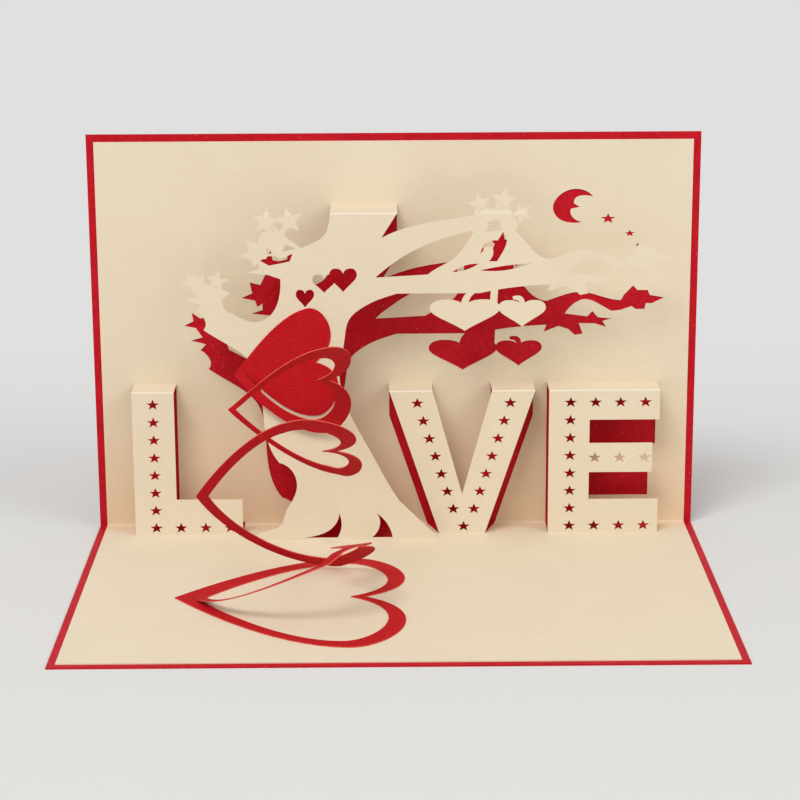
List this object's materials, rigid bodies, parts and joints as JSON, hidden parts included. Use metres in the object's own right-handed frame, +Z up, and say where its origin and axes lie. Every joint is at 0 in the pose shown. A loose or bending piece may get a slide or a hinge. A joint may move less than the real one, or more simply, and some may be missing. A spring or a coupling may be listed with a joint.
{
  "type": "pop up card",
  "caption": "Folded card standing open at a right angle, with letters and a tree cut from its inner sheet and a hanging spiral of paper hearts.",
  "frame": {"origin": "middle of the footprint on the surface the card stands on, at the underside of the base panel", "axes": "+X along the gutter fold, +Y from the base's front edge towards the back panel, +Z up"},
  "size_m": [0.18, 0.12, 0.12],
  "materials": {
    "red_card": "fine pearl sheen",
    "cream_paper": "matt",
    "red_paper": "matt, finely ribbed"
  },
  "bodies": {
    "root": {"cover": "red_card", "inner_sheet": "cream_paper", "heart_spiral": "red_paper"}
  },
  "joints": []
}
